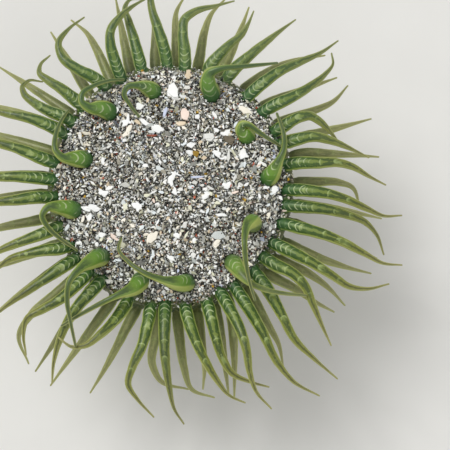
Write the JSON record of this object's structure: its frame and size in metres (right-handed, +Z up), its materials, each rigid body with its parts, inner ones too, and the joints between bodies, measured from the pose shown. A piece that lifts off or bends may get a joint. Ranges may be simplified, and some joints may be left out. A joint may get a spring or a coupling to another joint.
{
  "type": "sea anemone",
  "caption": "Life-size burrowing sea anemone with a short flared column, a sand-covered oral disc and several whorls of tapered, banded green tentacles spread in a wide crown.",
  "frame": {"origin": "centre of the pedal disc's flat underside, on the floor", "axes": "+Z up along the column, from the pedal disc to the mouth; the mouth's long axis runs along X, and the crown lies level"},
  "size_m": [0.1153, 0.1169, 0.0616],
  "materials": {
    "flesh": "wet satin",
    "shell_sand": "rough, loose grains"
  },
  "bodies": {
    "root": {"pedal_disc": "flesh", "column_lower": "flesh", "column_upper": "flesh", "oral_disc": "flesh", "mouth_lips": "flesh", "rim_sector_01": "flesh", "rim_sector_02": "flesh", "rim_sector_03": "flesh", "rim_sector_04": "flesh", "rim_sector_05": "flesh", "rim_sector_06": "flesh", "rim_sector_07": "flesh", "rim_sector_08": "flesh", "rim_sector_09": "flesh", "rim_sector_10": "flesh", "rim_sector_11": "flesh", "rim_sector_12": "flesh", "collar_sector_01": "flesh", "collar_sector_02": "flesh", "collar_sector_03": "flesh", "collar_sector_04": "flesh", "collar_sector_05": "flesh", "collar_sector_06": "flesh", "collar_sector_07": "flesh", "collar_sector_08": "flesh", "collar_sector_09": "flesh", "collar_sector_10": "flesh", "collar_sector_11": "flesh", "collar_sector_12": "flesh", "tentacle_inner_01_base": "flesh", "tentacle_inner_01_tip": "flesh", "tentacle_inner_02_base": "flesh", "tentacle_inner_02_tip": "flesh", "tentacle_inner_03_base": "flesh", "tentacle_inner_03_tip": "flesh", "tentacle_inner_04_base": "flesh", "tentacle_inner_04_tip": "flesh", "tentacle_inner_05_base": "flesh", "tentacle_inner_05_tip": "flesh", "tentacle_inner_06_base": "flesh", "tentacle_inner_06_tip": "flesh", "tentacle_inner_07_base": "flesh", "tentacle_inner_07_tip": "flesh", "tentacle_inner_08_base": "flesh", "tentacle_inner_08_tip": "flesh", "tentacle_inner_09_base": "flesh", "tentacle_inner_09_tip": "flesh", "tentacle_inner_10_base": "flesh", "tentacle_inner_10_tip": "flesh", "tentacle_inner_11_base": "flesh", "tentacle_inner_11_tip": "flesh", "tentacle_inner_12_base": "flesh", "tentacle_inner_12_tip": "flesh", "sand_cover": "shell_sand"}
  },
  "joints": []
}
